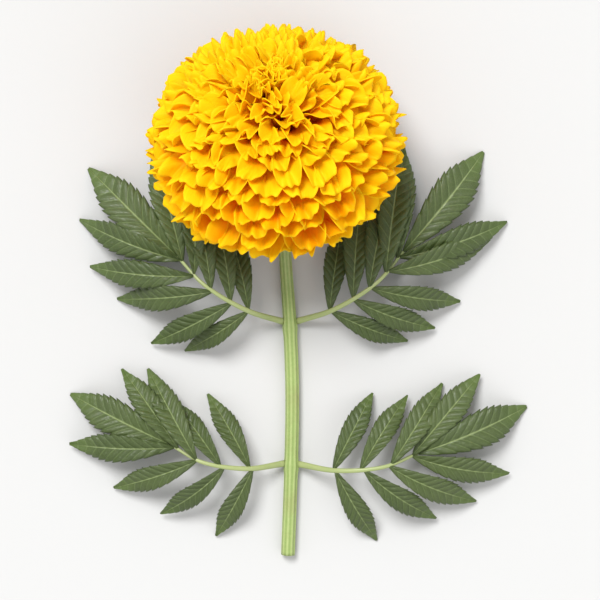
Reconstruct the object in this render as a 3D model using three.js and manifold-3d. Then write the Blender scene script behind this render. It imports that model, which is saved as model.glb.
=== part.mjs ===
// A picked African marigold lying on a flat surface: a double golden head on a bent neck,
// a stem with its cut end, and two pairs of feather-shaped leaves.
// Millimetres. +Y runs from the cut end towards the head and +Z is up.

import * as THREE from 'three';
import { mergeVertices } from 'three/addons/utils/BufferGeometryUtils.js';
import Module from 'manifold-3d';

const wasm = await Module();
wasm.setup();

const { degToRad, lerp, smoothstep } = THREE.MathUtils;

// Driving dimensions of the head

const headRadius = 43;
const crownHeight = 36; // from the widest ring of the head up to its top
const skirtDepth = 26; // from the widest ring back to the lowest petals
const headTilt = degToRad(45); // the head's axis above the floor
const headYaw = degToRad(5); // and to the left of the stem
const headCentre = new THREE.Vector3(-4, 152, 33); // centre of the widest ring
const receptacleDepth = 6; // behind the widest ring, where every petal starts
const receptacleRadius = 6.7;
const touchGap = 0.3; // between pieces that meet

// Driving dimensions of the petals

const separateWhorls = 2; // the outer whorls, one solid for each petal
const whorlPetals = [18, 20, 27, 29, 31, 32, 32, 30, 25, 16]; // outermost whorl first
const whorlTurn = 0.5; // radians by which each whorl is turned on from the one outside it
const outerTipPolar = degToRad(113); // angle from the head's axis to the outermost petal tips
const innerTipPolar = degToRad(7);
const outerRootPolar = degToRad(84); // and to the outermost petal roots, on the receptacle
const innerRootPolar = degToRad(7);
const petalThickness = 0.9;
const clawThickness = 0.55;
const clawHalfWidth = 0.65;
const bladeStart = 0.6; // share of a petal's reach at which it has its full width
const bladeFill = 0.92; // share of its sector that a blade takes
const tipNotch = 0.08; // share of a petal's reach by which its corners fall short
const cupAngle = degToRad(5); // how far a petal's edges rise towards the axis
const pressZone = 10; // height above the floor below which resting petals give way
const petalColumns = 4;
const petalRows = 5;
const whorlRows = 4;

// Driving dimensions of the stem and the cup of bracts

const stemRadius = 2.6;
const stemSides = 14;
const stemSteps = 30;
const lowerNode = 33; // distance of a pair of leaves from the cut end
const upperNode = 84;
const neckLength = 7; // the straight stretch behind the cup
const stemSway = [ // sideways, along and up, from the cut end to where the stem rises
  [0, 0, 0],
  [1.2, lowerNode, 0],
  [1.6, 60, 0],
  [0.8, upperNode, 0],
  [-0.6, 105, 0.6],
];
const cupLength = 19;
const cupMouthRadius = 8.4;
const cupBellyRadius = 7.6;
const cupLipDepth = 1.6; // of the cup's rim behind the receptacle's centre
const cupLow = 0.9; // shares of the cup's length between which its belly bulges
const cupHigh = 0.45;
const neckRadius = 3.1;
const domeEdge = degToRad(96); // where the receptacle's dome goes down into the cup
const cupSides = 24;
const cupSteps = 6;
const domeSteps = 5;

// Driving dimensions of the leaves

const bladeThickness = 0.8;
const rachisRadius = 0.85;
const leafletFold = 0.32; // rise of a leaflet's halves from its midrib, for each unit of width
const leafletWidth = 0.29; // width of a side leaflet for each unit of its length
const terminalWidth = 0.34; // and of the one at the leaf's end
const terminalShare = 0.48; // share of the leaf's length that its end leaflet takes
const firstLength = 0.7; // length of the first pair's leaflets, as a share of the end leaflet's
const lastLength = 0.92;
const firstPlace = 0.3; // where along the stalk the first pair stands
const lastPlace = 0.93;
const endPlace = 0.98; // and the end leaflet
const firstSpread = degToRad(60); // angle of the first pair's leaflets from the stalk
const lastSpread = degToRad(36);
const leafletRise = 0.08; // height of a leaflet's arch, as a share of its length
const leafletBase = 0.08; // width of a leaflet at its ends, as a share of its full width
const restingTip = bladeThickness / 2; // height of a leaflet's tip that lies on the floor
const raisedTip = restingTip + 1.5;
const stalkLift = 0.6; // of the stalk's start above the stem's middle
const stalkCourse = [ // shares of the stalk's length, of its bow and of its arch
  [0.35, 0.7, 0.85],
  [0.7, 1, 1],
  [1, 0.6, 0.7],
];
const stalkSteps = 10;
const stalkSides = 6;
const leafletColumns = 2;
const leafletRows = 5;

const leaves = [
  { name: 'leaf_upper_left', node: upperNode, heading: 53, length: 94, pairs: 5, arch: 18, bow: 5 },
  { name: 'leaf_upper_right', node: upperNode, heading: -51, length: 96, pairs: 5, arch: 16, bow: -6 },
  { name: 'leaf_lower_left', node: lowerNode, heading: 74, length: 86, pairs: 4, arch: 14, bow: 6 },
  { name: 'leaf_lower_right', node: lowerNode, heading: -79, length: 90, pairs: 4, arch: 15, bow: -5 },
];

const petalMaterial = new THREE.MeshStandardMaterial({ color: 0xf7b50c, roughness: 0.6 });
const innerPetalMaterial = new THREE.MeshStandardMaterial({ color: 0xfbc40e, roughness: 0.6 });
const stemMaterial = new THREE.MeshStandardMaterial({ color: 0x8a9a5c, roughness: 0.55 });
const cupMaterial = new THREE.MeshStandardMaterial({ color: 0x7f9450, roughness: 0.55 });
const leafMaterial = new THREE.MeshStandardMaterial({ color: 0x42552d, roughness: 0.55 });

// Moves every vertex of a geometry to where place(x, y, z) puts it, and welds the corners.
function reshape(geometry, place) {
  geometry.deleteAttribute('normal');
  geometry.deleteAttribute('uv');
  const positions = geometry.attributes.position;
  const point = new THREE.Vector3();
  for (let i = 0; i < positions.count; i += 1) {
    point.fromBufferAttribute(positions, i);
    place(point);
    positions.setXYZ(i, point.x, point.y, point.z);
  }
  return mergeVertices(geometry);
}

function namedMesh(name, geometry, material) {
  geometry.computeVertexNormals();
  const mesh = new THREE.Mesh(geometry, material);
  mesh.name = name;
  return mesh;
}

// Head. Its own axis is +Y, and its origin is the centre of the receptacle.

// Distance from the receptacle to the head's outer surface, in the direction at this angle
// from the axis. The surface is a half ellipsoid above the widest ring and another below it.
function surfaceReach(polar) {
  const reachWithin = (height) => {
    const square = (Math.sin(polar) / headRadius) ** 2 + (Math.cos(polar) / height) ** 2;
    const half = (receptacleDepth * Math.cos(polar)) / height ** 2;
    const rest = 1 - (receptacleDepth / height) ** 2;
    return (half + Math.sqrt(half ** 2 + square * rest)) / square;
  };
  const upper = reachWithin(crownHeight);
  const above = upper * Math.cos(polar) > receptacleDepth;
  return above ? upper : reachWithin(skirtDepth);
}

function makeWhorl(rank) {
  const share = rank / (whorlPetals.length - 1);
  const tipPolar = lerp(outerTipPolar, innerTipPolar, share);
  return {
    petals: whorlPetals[rank],
    sector: (2 * Math.PI) / whorlPetals[rank],
    turn: rank * whorlTurn,
    rootPolar: lerp(outerRootPolar, innerRootPolar, share),
    tipPolar,
    reach: surfaceReach(tipPolar),
  };
}

// A point of a petal: along runs from 0 at the root to 1 at the tip, edge is 0 on the
// midline and 1 at the margins, and layer is -0.5 on the back and 0.5 on the face.
function petalPoint(target, whorl, azimuth, edge, along, layer) {
  const start = receptacleRadius + touchGap;
  const reach = start + (whorl.reach - start) * along * (1 - tipNotch * edge ** 2);
  const spread = smoothstep(along, 0, 1);
  const polar = lerp(whorl.rootPolar, whorl.tipPolar, spread) - cupAngle * (edge * along) ** 2;
  const thickness = lerp(clawThickness, petalThickness, spread);
  target.setFromSphericalCoords(reach, polar, azimuth);
  const across = new THREE.Vector3().setFromSphericalCoords(1, polar + Math.PI / 2, azimuth);
  target.addScaledVector(across, layer * thickness);
}

// One petal: a flat blank bent onto its whorl, narrow at the claw and broad at the blade.
function petalGeometry(whorl, index) {
  const middle = whorl.turn + index * whorl.sector;
  const bladeAngle = (whorl.sector / 2) * bladeFill;
  const rootRadius = receptacleRadius * Math.sin(whorl.rootPolar);
  const clawAngle = clawHalfWidth / rootRadius;
  const blank = new THREE.BoxGeometry(2, 1, 1, petalColumns, petalRows, 1);
  return reshape(blank, (point) => {
    const side = point.x;
    const along = point.y + 0.5;
    const halfAngle = lerp(clawAngle, bladeAngle, smoothstep(along, 0, bladeStart));
    petalPoint(point, whorl, middle + side * halfAngle, Math.abs(side), along, point.z);
  });
}

// A whole whorl in one piece: a closed ring bent onto its place, with a notch between petals.
// The blank is a ring whose wall lies between the radii 1 and 2.
function whorlGeometry(whorl) {
  const profile = [];
  for (let row = 0; row <= whorlRows; row += 1) {
    profile.push(new THREE.Vector2(2, row / whorlRows));
  }
  for (let row = whorlRows; row >= 0; row -= 1) {
    profile.push(new THREE.Vector2(1, row / whorlRows));
  }
  profile.push(profile[0].clone());
  const ring = new THREE.LatheGeometry(profile, 2 * whorl.petals);
  return reshape(ring, (point) => {
    const azimuth = Math.atan2(point.x, point.z);
    const layer = Math.hypot(point.x, point.z) - 3 / 2;
    const sectorShare = azimuth / whorl.sector + whorl.petals;
    const edge = 2 * Math.abs(sectorShare - Math.round(sectorShare));
    petalPoint(point, whorl, whorl.turn + azimuth, edge, point.y, layer);
  });
}

// The cup of joined bracts, from the neck to its mouth, with the domed receptacle in it.
function cupGeometry() {
  const profile = [new THREE.Vector2(0, -cupLength)];
  const side = new THREE.CubicBezierCurve(
    new THREE.Vector2(neckRadius, -cupLength),
    new THREE.Vector2(cupBellyRadius, -cupLength * cupLow),
    new THREE.Vector2(cupBellyRadius, -cupLength * cupHigh),
    new THREE.Vector2(cupMouthRadius, -cupLipDepth),
  );
  profile.push(...side.getPoints(cupSteps));
  for (let step = 0; step <= domeSteps; step += 1) {
    const polar = lerp(domeEdge, 0, step / domeSteps);
    const outwards = receptacleRadius * Math.sin(polar);
    profile.push(new THREE.Vector2(outwards, receptacleRadius * Math.cos(polar)));
  }
  return reshape(new THREE.LatheGeometry(profile, cupSides), () => {});
}

// Squeezes what lies below the press zone so that its lowest point comes to rest on the floor.
function pressOntoFloor(meshes, head) {
  head.updateMatrixWorld();
  const toHead = head.matrixWorld.clone().invert();
  const lowest = Math.min(...meshes.map((mesh) => new THREE.Box3().setFromObject(mesh).min.z));
  const squeeze = -lowest / (pressZone - lowest) ** 2;
  for (const mesh of meshes) {
    mesh.geometry = reshape(mesh.geometry, (point) => {
      point.applyMatrix4(head.matrixWorld);
      if (point.z < pressZone) {
        point.z += squeeze * (pressZone - point.z) ** 2;
      }
      point.applyMatrix4(toHead);
    });
    mesh.geometry.computeVertexNormals();
  }
}

function makeHead() {
  const head = new THREE.Group();
  head.rotation.set(headTilt, 0, headYaw, 'ZXY');
  const axis = new THREE.Vector3(0, 1, 0).applyEuler(head.rotation);
  head.position.copy(headCentre).addScaledVector(axis, -receptacleDepth);
  for (let rank = 0; rank < whorlPetals.length; rank += 1) {
    const whorl = makeWhorl(rank);
    const label = String(rank + 1).padStart(2, '0');
    if (rank < separateWhorls) {
      for (let index = 0; index < whorl.petals; index += 1) {
        const number = String(index + 1).padStart(2, '0');
        const name = `petal_row${label}_${number}`;
        head.add(namedMesh(name, petalGeometry(whorl, index), petalMaterial));
      }
    } else {
      head.add(namedMesh(`petal_whorl_${label}`, whorlGeometry(whorl), innerPetalMaterial));
    }
  }
  pressOntoFloor(head.children, head);
  head.add(namedMesh('bract_cup', cupGeometry(), cupMaterial));
  return head;
}

// Stem

// The stem's centre line: from the cut end along the floor, then up into the back of the cup.
function stemPath(head) {
  const axis = new THREE.Vector3(0, 1, 0).applyEuler(head.rotation);
  const neck = head.position.clone().addScaledVector(axis, -cupLength - touchGap);
  const below = neck.clone().addScaledVector(axis, -neckLength);
  const laid = stemSway.map(([x, y, lift]) => new THREE.Vector3(x, y, stemRadius + lift));
  return new THREE.CatmullRomCurve3([...laid, below, neck]);
}

function makeStem(path) {
  const section = new THREE.Shape().absarc(0, 0, stemRadius, 0, 2 * Math.PI);
  const geometry = new THREE.ExtrudeGeometry(section, {
    extrudePath: path,
    steps: stemSteps,
    curveSegments: stemSides / 2,
    bevelEnabled: false,
  });
  return namedMesh('stem', reshape(geometry, () => {}), stemMaterial);
}

// Leaves. A leaf's own frame has +X along the leaf, +Z up and its origin on the floor.

function asSolid(geometry) {
  return new wasm.Manifold(new wasm.Mesh({
    numProp: 3,
    vertProperties: new Float32Array(geometry.attributes.position.array),
    triVerts: new Uint32Array(geometry.index.array),
  }));
}

function asGeometry(solid) {
  const mesh = solid.getMesh();
  const geometry = new THREE.BufferGeometry();
  geometry.setAttribute('position', new THREE.BufferAttribute(mesh.vertProperties, 3));
  geometry.setIndex(new THREE.BufferAttribute(mesh.triVerts, 1));
  return geometry;
}

// Half the width of a lance-shaped outline, as a share of its greatest half width.
function leafletOutline(along) {
  const bulge = Math.sin(Math.PI * along ** 0.8) ** 0.9;
  return lerp(leafletBase, 1, bulge);
}

// A lance-shaped leaflet: a flat blank that narrows to both ends, folded up from its midrib,
// arching over and down from its root to its tip.
function leafletGeometry(root, direction, length, width, tipHeight) {
  const ahead = new THREE.Vector3(Math.cos(direction), Math.sin(direction), 0);
  const sideways = new THREE.Vector3(-ahead.y, ahead.x, 0);
  const blank = new THREE.BoxGeometry(1, 2, bladeThickness, leafletRows, leafletColumns, 1);
  return reshape(blank, (point) => {
    const along = point.x + 0.5;
    const side = point.y;
    const layer = point.z;
    const halfWidth = (width / 2) * leafletOutline(along);
    const arch = length * leafletRise * Math.sin(Math.PI * along);
    const height = lerp(root.z, tipHeight, along ** 1.5) + arch;
    point.copy(root);
    point.addScaledVector(ahead, along * length);
    point.addScaledVector(sideways, side * halfWidth);
    point.z = height + Math.abs(side) * halfWidth * leafletFold + layer;
  });
}

// The leaf's stalk leaves the stem at a slant, so it starts where its thickness clears the stem.
function rachisPath(leaf, length) {
  const slant = degToRad(Math.abs(leaf.heading));
  const start = (stemRadius + touchGap + rachisRadius * Math.cos(slant)) / Math.sin(slant);
  const course = stalkCourse.map(([along, bow, arch]) => (
    new THREE.Vector3(length * along, leaf.bow * bow, leaf.arch * arch)
  ));
  return new THREE.CatmullRomCurve3([new THREE.Vector3(start, 0, stemRadius + stalkLift), ...course]);
}

function leafGeometry(leaf) {
  const terminal = leaf.length * terminalShare;
  const path = rachisPath(leaf, leaf.length - terminal);
  const section = new THREE.Shape().absarc(0, 0, rachisRadius, 0, 2 * Math.PI);
  const tube = new THREE.ExtrudeGeometry(section, {
    extrudePath: path,
    steps: stalkSteps,
    curveSegments: stalkSides / 2,
    bevelEnabled: false,
  });
  let solid = asSolid(reshape(tube, () => {}));
  const join = (place, turn, length, width, tipHeight) => {
    const root = path.getPointAt(place);
    const ahead = path.getTangentAt(place);
    const course = Math.atan2(ahead.y, ahead.x) + turn;
    solid = solid.add(asSolid(leafletGeometry(root, course, length, width, tipHeight)));
  };
  for (let pair = 0; pair < leaf.pairs; pair += 1) {
    const share = pair / (leaf.pairs - 1);
    const length = terminal * lerp(firstLength, lastLength, share);
    const spread = lerp(firstSpread, lastSpread, share);
    const place = lerp(firstPlace, lastPlace, share);
    const tipHeight = pair % 2 ? raisedTip : restingTip;
    for (const side of [-1, 1]) {
      join(place, side * spread, length, length * leafletWidth, tipHeight);
    }
  }
  join(endPlace, 0, terminal, terminal * terminalWidth, restingTip);
  return asGeometry(solid);
}

function makeLeaf(leaf, stemLine) {
  const mesh = namedMesh(leaf.name, leafGeometry(leaf), leafMaterial);
  const node = stemLine.getPointAt(nodeShare(stemLine, leaf.node));
  mesh.position.set(node.x, node.y, 0);
  mesh.rotation.z = Math.PI / 2 + degToRad(leaf.heading);
  return mesh;
}

// The share of the stem's length at which it is this far along Y.
function nodeShare(stemLine, distance) {
  const steps = 200;
  let step = 0;
  while (stemLine.getPointAt(step / steps).y < distance) {
    step += 1;
  }
  return step / steps;
}

// The whole flower, moved so that its box stands on the origin.
function makeMarigold() {
  const marigold = new THREE.Group();
  const head = makeHead();
  const path = stemPath(head);
  marigold.add(head, makeStem(path));
  for (const leaf of leaves) {
    marigold.add(makeLeaf(leaf, path));
  }
  const box = new THREE.Box3().setFromObject(marigold, true);
  const centre = box.getCenter(new THREE.Vector3());
  marigold.position.set(-centre.x, -centre.y, -box.min.z);
  return marigold;
}

export default makeMarigold();
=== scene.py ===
"""A picked golden marigold, finished around its measured frame.

It is laid out as an add-on: each operator makes one piece of the flower, or a group of like
pieces, as surfaces worked out with numpy. Lengths are metres, +Y runs from the stem's cut end
to the head, +Z is up and the floor is at zero.
"""

import math
from typing import NamedTuple

import bpy
import numpy as np
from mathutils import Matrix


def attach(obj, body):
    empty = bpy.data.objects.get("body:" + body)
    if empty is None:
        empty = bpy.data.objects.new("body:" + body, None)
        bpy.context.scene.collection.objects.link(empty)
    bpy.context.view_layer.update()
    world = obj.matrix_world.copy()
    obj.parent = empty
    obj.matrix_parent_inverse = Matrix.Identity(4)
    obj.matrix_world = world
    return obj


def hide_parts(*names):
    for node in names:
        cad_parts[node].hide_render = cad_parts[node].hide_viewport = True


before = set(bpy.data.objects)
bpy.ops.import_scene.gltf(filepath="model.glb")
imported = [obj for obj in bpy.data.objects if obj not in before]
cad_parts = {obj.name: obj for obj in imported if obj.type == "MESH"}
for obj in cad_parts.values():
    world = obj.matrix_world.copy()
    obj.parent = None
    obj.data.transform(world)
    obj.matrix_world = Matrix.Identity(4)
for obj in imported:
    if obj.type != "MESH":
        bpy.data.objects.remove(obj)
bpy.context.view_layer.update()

bl_info = {
    "name": "Golden marigold",
    "version": (1, 0, 0),
    "blender": (4, 5, 0),
    "location": "View3D > Sidebar > Marigold",
    "description": "Builds a picked double marigold around its measured frame",
    "category": "Add Mesh",
}

MM = 0.001
TURN = 2 * math.pi
SEED = 7
PETAL_SEED = 300
VERTICAL = np.array([0.0, 0.0, 1.0])

# The frame's driving dimensions

HEAD_RADIUS = 43 * MM
CROWN_HEIGHT = 36 * MM
SKIRT_DEPTH = 26 * MM
HEAD_TILT = math.radians(45)
HEAD_YAW = math.radians(5)
RECEPTACLE_DEPTH = 6 * MM
RECEPTACLE_RADIUS = 6.7 * MM
WHORL_PETALS = (18, 20, 27, 29, 31, 32, 32, 30, 25, 16)
SEPARATE_WHORLS = 2
WHORL_TURN = 0.5
PRESS_ZONE = 10 * MM
CUP_LENGTH = 19 * MM
STEM_RADIUS = 2.6 * MM
LOWER_NODE = 33 * MM
UPPER_NODE = 84 * MM
NECK_LENGTH = 7 * MM
STEM_SWAY = (
    (0, 0, 0),
    (1.2 * MM, LOWER_NODE, 0),
    (1.6 * MM, 60 * MM, 0),
    (0.8 * MM, UPPER_NODE, 0),
    (-0.6 * MM, 105 * MM, 0.6 * MM),
)


# Settings that a user may change. Two values are for the outermost petals and the innermost.

def length_of(name, description, *millimetres):
    """A length."""
    return measure_of(name, description, [value * MM for value in millimetres], unit="LENGTH", precision=5)


def angle_of(name, description, *degrees):
    """An angle."""
    return measure_of(name, description, [math.radians(value) for value in degrees], unit="ROTATION")


def number_of(name, description, *values):
    """A plain number."""
    return measure_of(name, description, values)


def measure_of(name, description, values, **options):
    """A single number or a vector of them."""
    if len(values) == 1:
        return bpy.props.FloatProperty(name=name, description=description, default=values[0], **options)
    return bpy.props.FloatVectorProperty(
        name=name, description=description, size=len(values), default=values, **options)


def count_of(name, description, count):
    """A whole number, three at least."""
    return bpy.props.IntProperty(name=name, description=description, default=count, min=3)


def colour_of(part, what, *colour):
    """The colour of something."""
    name, description = f"{part} colour", f"Colour of {what}"
    return bpy.props.FloatVectorProperty(
        name=name, description=description, default=colour, subtype="COLOR", min=0, max=1)


# Arrays

def unit(vectors):
    """Vectors divided by their own length."""
    return vectors / np.linalg.norm(vectors, axis=-1, keepdims=True)


def smooth(value, low=0.0, high=1.0):
    """An S-shaped step from 0 at low to 1 at high: 3t squared minus 2t cubed."""
    share = np.clip((value - low) / (high - low), 0, 1)
    return share * share * (3 - 2 * share)


def blend(low, high, share):
    """The value that lies this share of the way from low to high."""
    return low + (high - low) * share


def rotated(x, y, angle):
    """Two coordinates after a turn by an angle in their plane."""
    return x * np.cos(angle) - y * np.sin(angle), x * np.sin(angle) + y * np.cos(angle)


def read(items, key, kind=np.float64, size=1):
    """The values that a mesh's items hold under a key, size of them for each, as a flat array."""
    values = np.empty(len(items) * size, dtype=kind)
    items.foreach_get(key, values)
    return values


def spline(waypoints, shares):
    """A Catmull-Rom curve: cubic stretches through the waypoints.

    The slope at a waypoint is half the step from the one before it to the one after it.
    """
    before = 2 * waypoints[:1] - waypoints[1:2]
    after = 2 * waypoints[-1:] - waypoints[-2:-1]
    knots = np.concatenate([before, waypoints, after])
    place = np.clip(shares, 0, 1) * (len(waypoints) - 1)
    start = np.minimum(place.astype(int), len(waypoints) - 2)
    t = (place - start)[:, None]
    p0, p1, p2, p3 = (knots[start + step] for step in range(4))
    square = 2 * p0 - 5 * p1 + 4 * p2 - p3
    cube = 3 * (p1 - p2) + p3 - p0
    return p1 + t * (p2 - p0 + t * (square + t * cube)) / 2


# Surfaces

def quads_of(index):
    """The four-cornered faces between neighbours of a grid of vertex numbers."""
    corners = (index[..., :-1, :-1], index[..., :-1, 1:], index[..., 1:, 1:], index[..., 1:, :-1])
    return np.stack(corners, axis=-1).reshape(-1, 4)


def thin_solids(middle, thickness):
    """Closed thin solids round a stack of sheets: sheets x rows x columns x 3.

    Each sheet is copied half the thickness along its normals to both sides, and a rim of faces
    joins the copies. A normal is the cross product of the steps along a row and a column.
    """
    sheets, rows, columns = middle.shape[:3]
    normal = unit(np.cross(np.gradient(middle, axis=2), np.gradient(middle, axis=1)))
    half = normal * thickness / 2
    points = np.stack([middle + half, middle - half], axis=1).reshape(-1, 3)
    index = np.arange(len(points)).reshape(sheets, 2, rows, columns)
    face, back = index[:, 0], index[:, 1]
    sides = (face[:, 0, :], face[:, 1:, -1], face[:, -1, -2::-1], face[:, -2::-1, 0])
    rim = np.concatenate(sides, axis=1)
    rim_back = rim + rows * columns
    edges = np.stack([rim[:, 1:], rim[:, :-1], rim_back[:, :-1], rim_back[:, 1:]], axis=-1)
    faces = np.concatenate([quads_of(face), quads_of(back[:, :, ::-1]), edges.reshape(-1, 4)])
    return points, faces.tolist()


def both_sides(values, sheets):
    """Values on the grids of a stack of sheets, repeated for the two sides of each solid."""
    grid = np.broadcast_to(values, sheets.shape[:3])
    return np.repeat(grid[:, None], 2, axis=1).ravel()


def sheet_map(sheets, along):
    """UV coordinates of thin solids: from margin to margin, and each row's place along the sheet."""
    across = np.linspace(0, 1, sheets.shape[2])
    return np.stack([both_sides(across, sheets), both_sides(along[:, None], sheets)], axis=1)


def ring_faces(rings, columns):
    """The faces of a closed skin of rings: quads between them and a flat cap on each end."""
    index = np.arange(rings * columns).reshape(rings, columns)
    sides = quads_of(np.concatenate([index, index[:, :1]], axis=1)).tolist()
    return sides + [index[0, ::-1].tolist(), index[-1].tolist()]


def tube(path, direction, radius):
    """The points of a tube, rings x columns x 3, whose rings stand square to the direction.

    A ring's side is the cross product of the vertical and the direction, and its up that of the
    direction and the side, so that the skin faces outwards. A point lies its radius away from
    the path, at its angle from the side towards the up.
    """
    side = unit(np.cross(VERTICAL, direction))
    up = unit(np.cross(direction, side))
    angle = np.arange(radius.shape[1])[:, None] * TURN / radius.shape[1]
    ring = side[:, None] * np.cos(angle) + up[:, None] * np.sin(angle)
    return path[:, None] + ring * radius[..., None]


def ring_map(rings, columns):
    """UV coordinates of a tube's points: their place round the tube and along it."""
    round_it = np.arange(columns) / columns
    along_it = np.arange(rings)[:, None] / (rings - 1)
    return np.stack(np.broadcast_arrays(round_it, along_it), axis=-1).reshape(-1, 2)


# Places that come from the frame

def node_points(name):
    """The vertices of one of the frame's nodes, as an array."""
    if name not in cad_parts:
        raise RuntimeError(f"The frame has no node named {name}")
    return read(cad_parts[name].data.vertices, "co", size=3).reshape(-1, 3)


def head_axes():
    """The head's own right, axis and back directions, as rows, turned by its tilt and its yaw."""
    tilt = np.array([
        [1, 0, 0],
        [0, math.cos(HEAD_TILT), math.sin(HEAD_TILT)],
        [0, -math.sin(HEAD_TILT), math.cos(HEAD_TILT)],
    ])
    return tilt @ turn_about_vertical(HEAD_YAW)


def turn_about_vertical(angle):
    """A matrix that turns points, as rows, about the vertical."""
    c, s = math.cos(angle), math.sin(angle)
    return np.array([[c, s, 0], [-s, c, 0], [0, 0, 1]])


def receptacle_centre():
    """The centre of the receptacle's dome: on the cup's axis, one radius below the dome's top."""
    points = node_points("bract_cup")
    axis = head_axes()[1]
    middle = points.mean(axis=0)
    top = (points @ axis).max()
    return middle + axis * (top - RECEPTACLE_RADIUS - middle @ axis)


def cut_end():
    """The middle of the stem's cut end, brought down to the floor."""
    points = node_points("stem")
    end = points[points[:, 1] < points[:, 1].min() + MM]
    return np.array([end[:, 0].mean(), end[:, 1].min(), 0.0])


# Pieces

def corner_map(mesh, uv):
    """UV coordinates of every face's corners. Where the map wraps round, a face stays whole.

    A corner whose place round the piece lies more than half a turn from that of its face's first
    corner is moved by one turn.
    """
    corner = read(mesh.loops, "vertex_index", np.int32)
    sides = read(mesh.polygons, "loop_total", np.int32)
    first = np.repeat(uv[corner[np.cumsum(sides) - sides], 0], sides)
    placed = uv[corner]
    placed[:, 0] += np.round(first - placed[:, 0])
    return placed


def add_object(name, data):
    """Makes an object of a mesh, a light or a camera and puts it in the scene."""
    made = bpy.data.objects.new(name, data)
    bpy.context.scene.collection.objects.link(made)
    return made


def add_piece(name, points, faces, material, node, uv, layers):
    """Makes a mesh object, rides it on the frame and lets it stand for the named node."""
    mesh = bpy.data.meshes.new(name)
    mesh.from_pydata(points.reshape(-1, 3).tolist(), [], faces)
    mesh.shade_smooth()
    mesh.uv_layers.new(name="UVMap").data.foreach_set("uv", corner_map(mesh, uv).ravel())
    for label, values in layers.items():
        layer = mesh.attributes.new(label, "FLOAT", "POINT")
        layer.data.foreach_set("value", np.ascontiguousarray(values, dtype=np.float32).ravel())
    mesh.materials.append(material)
    piece = add_object(name, mesh)
    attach(piece, "root")
    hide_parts(node)


# Shader maths

class Wire:
    """A node's output that takes part in sums and products, each of which adds a Math node."""

    def __init__(self, shader, socket):
        self.shader = shader
        self.socket = socket

    def maths(self, operation, *others):
        """A Math node on this value and others."""
        inputs = dict(enumerate((self, *others)))
        return self.shader.node("ShaderNodeMath", {"operation": operation}, inputs)

    def __add__(self, other):
        return self.maths("ADD", other)

    def __mul__(self, other):
        return self.maths("MULTIPLY", other)

    def __sub__(self, other):
        return self.maths("SUBTRACT", other)

    def __rsub__(self, other):
        return (self * -1) + other

    def __pow__(self, power):
        return self.maths("POWER", power)

    __radd__ = __add__
    __rmul__ = __mul__

    def sine(self):
        """The sine of an angle in radians."""
        return self.maths("SINE")

    def size(self):
        """The value without its sign."""
        return self.maths("ABSOLUTE")

    def centred(self):
        """The value less a half, so that one between 0 and 1 goes to either side of 0."""
        return self - 0.5

    def from_middle(self):
        """How far a coordinate lies from the middle of its range, as a share."""
        return self.centred().size() * 2

    def ramp(self, *stops):
        """Colours or greys at places between 0 and 1, with smooth passages between them."""
        return self.shader.node("ShaderNodeValToRGB", {"stops": stops}, {"Fac": self})

    def rise(self, low, high):
        """A grey that is 0 up to low and 1 from high on."""
        return self.ramp((low, 0.0), (high, 1.0))

    def fade(self, low, high):
        """A grey that is 1 up to low and 0 from high on."""
        return self.ramp((low, 1.0), (high, 0.0))


# Places of the colour sockets in a Mix node
MIX_FACTOR, MIX_FIRST, MIX_SECOND, MIX_RESULT = 0, 6, 7, 2


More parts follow.
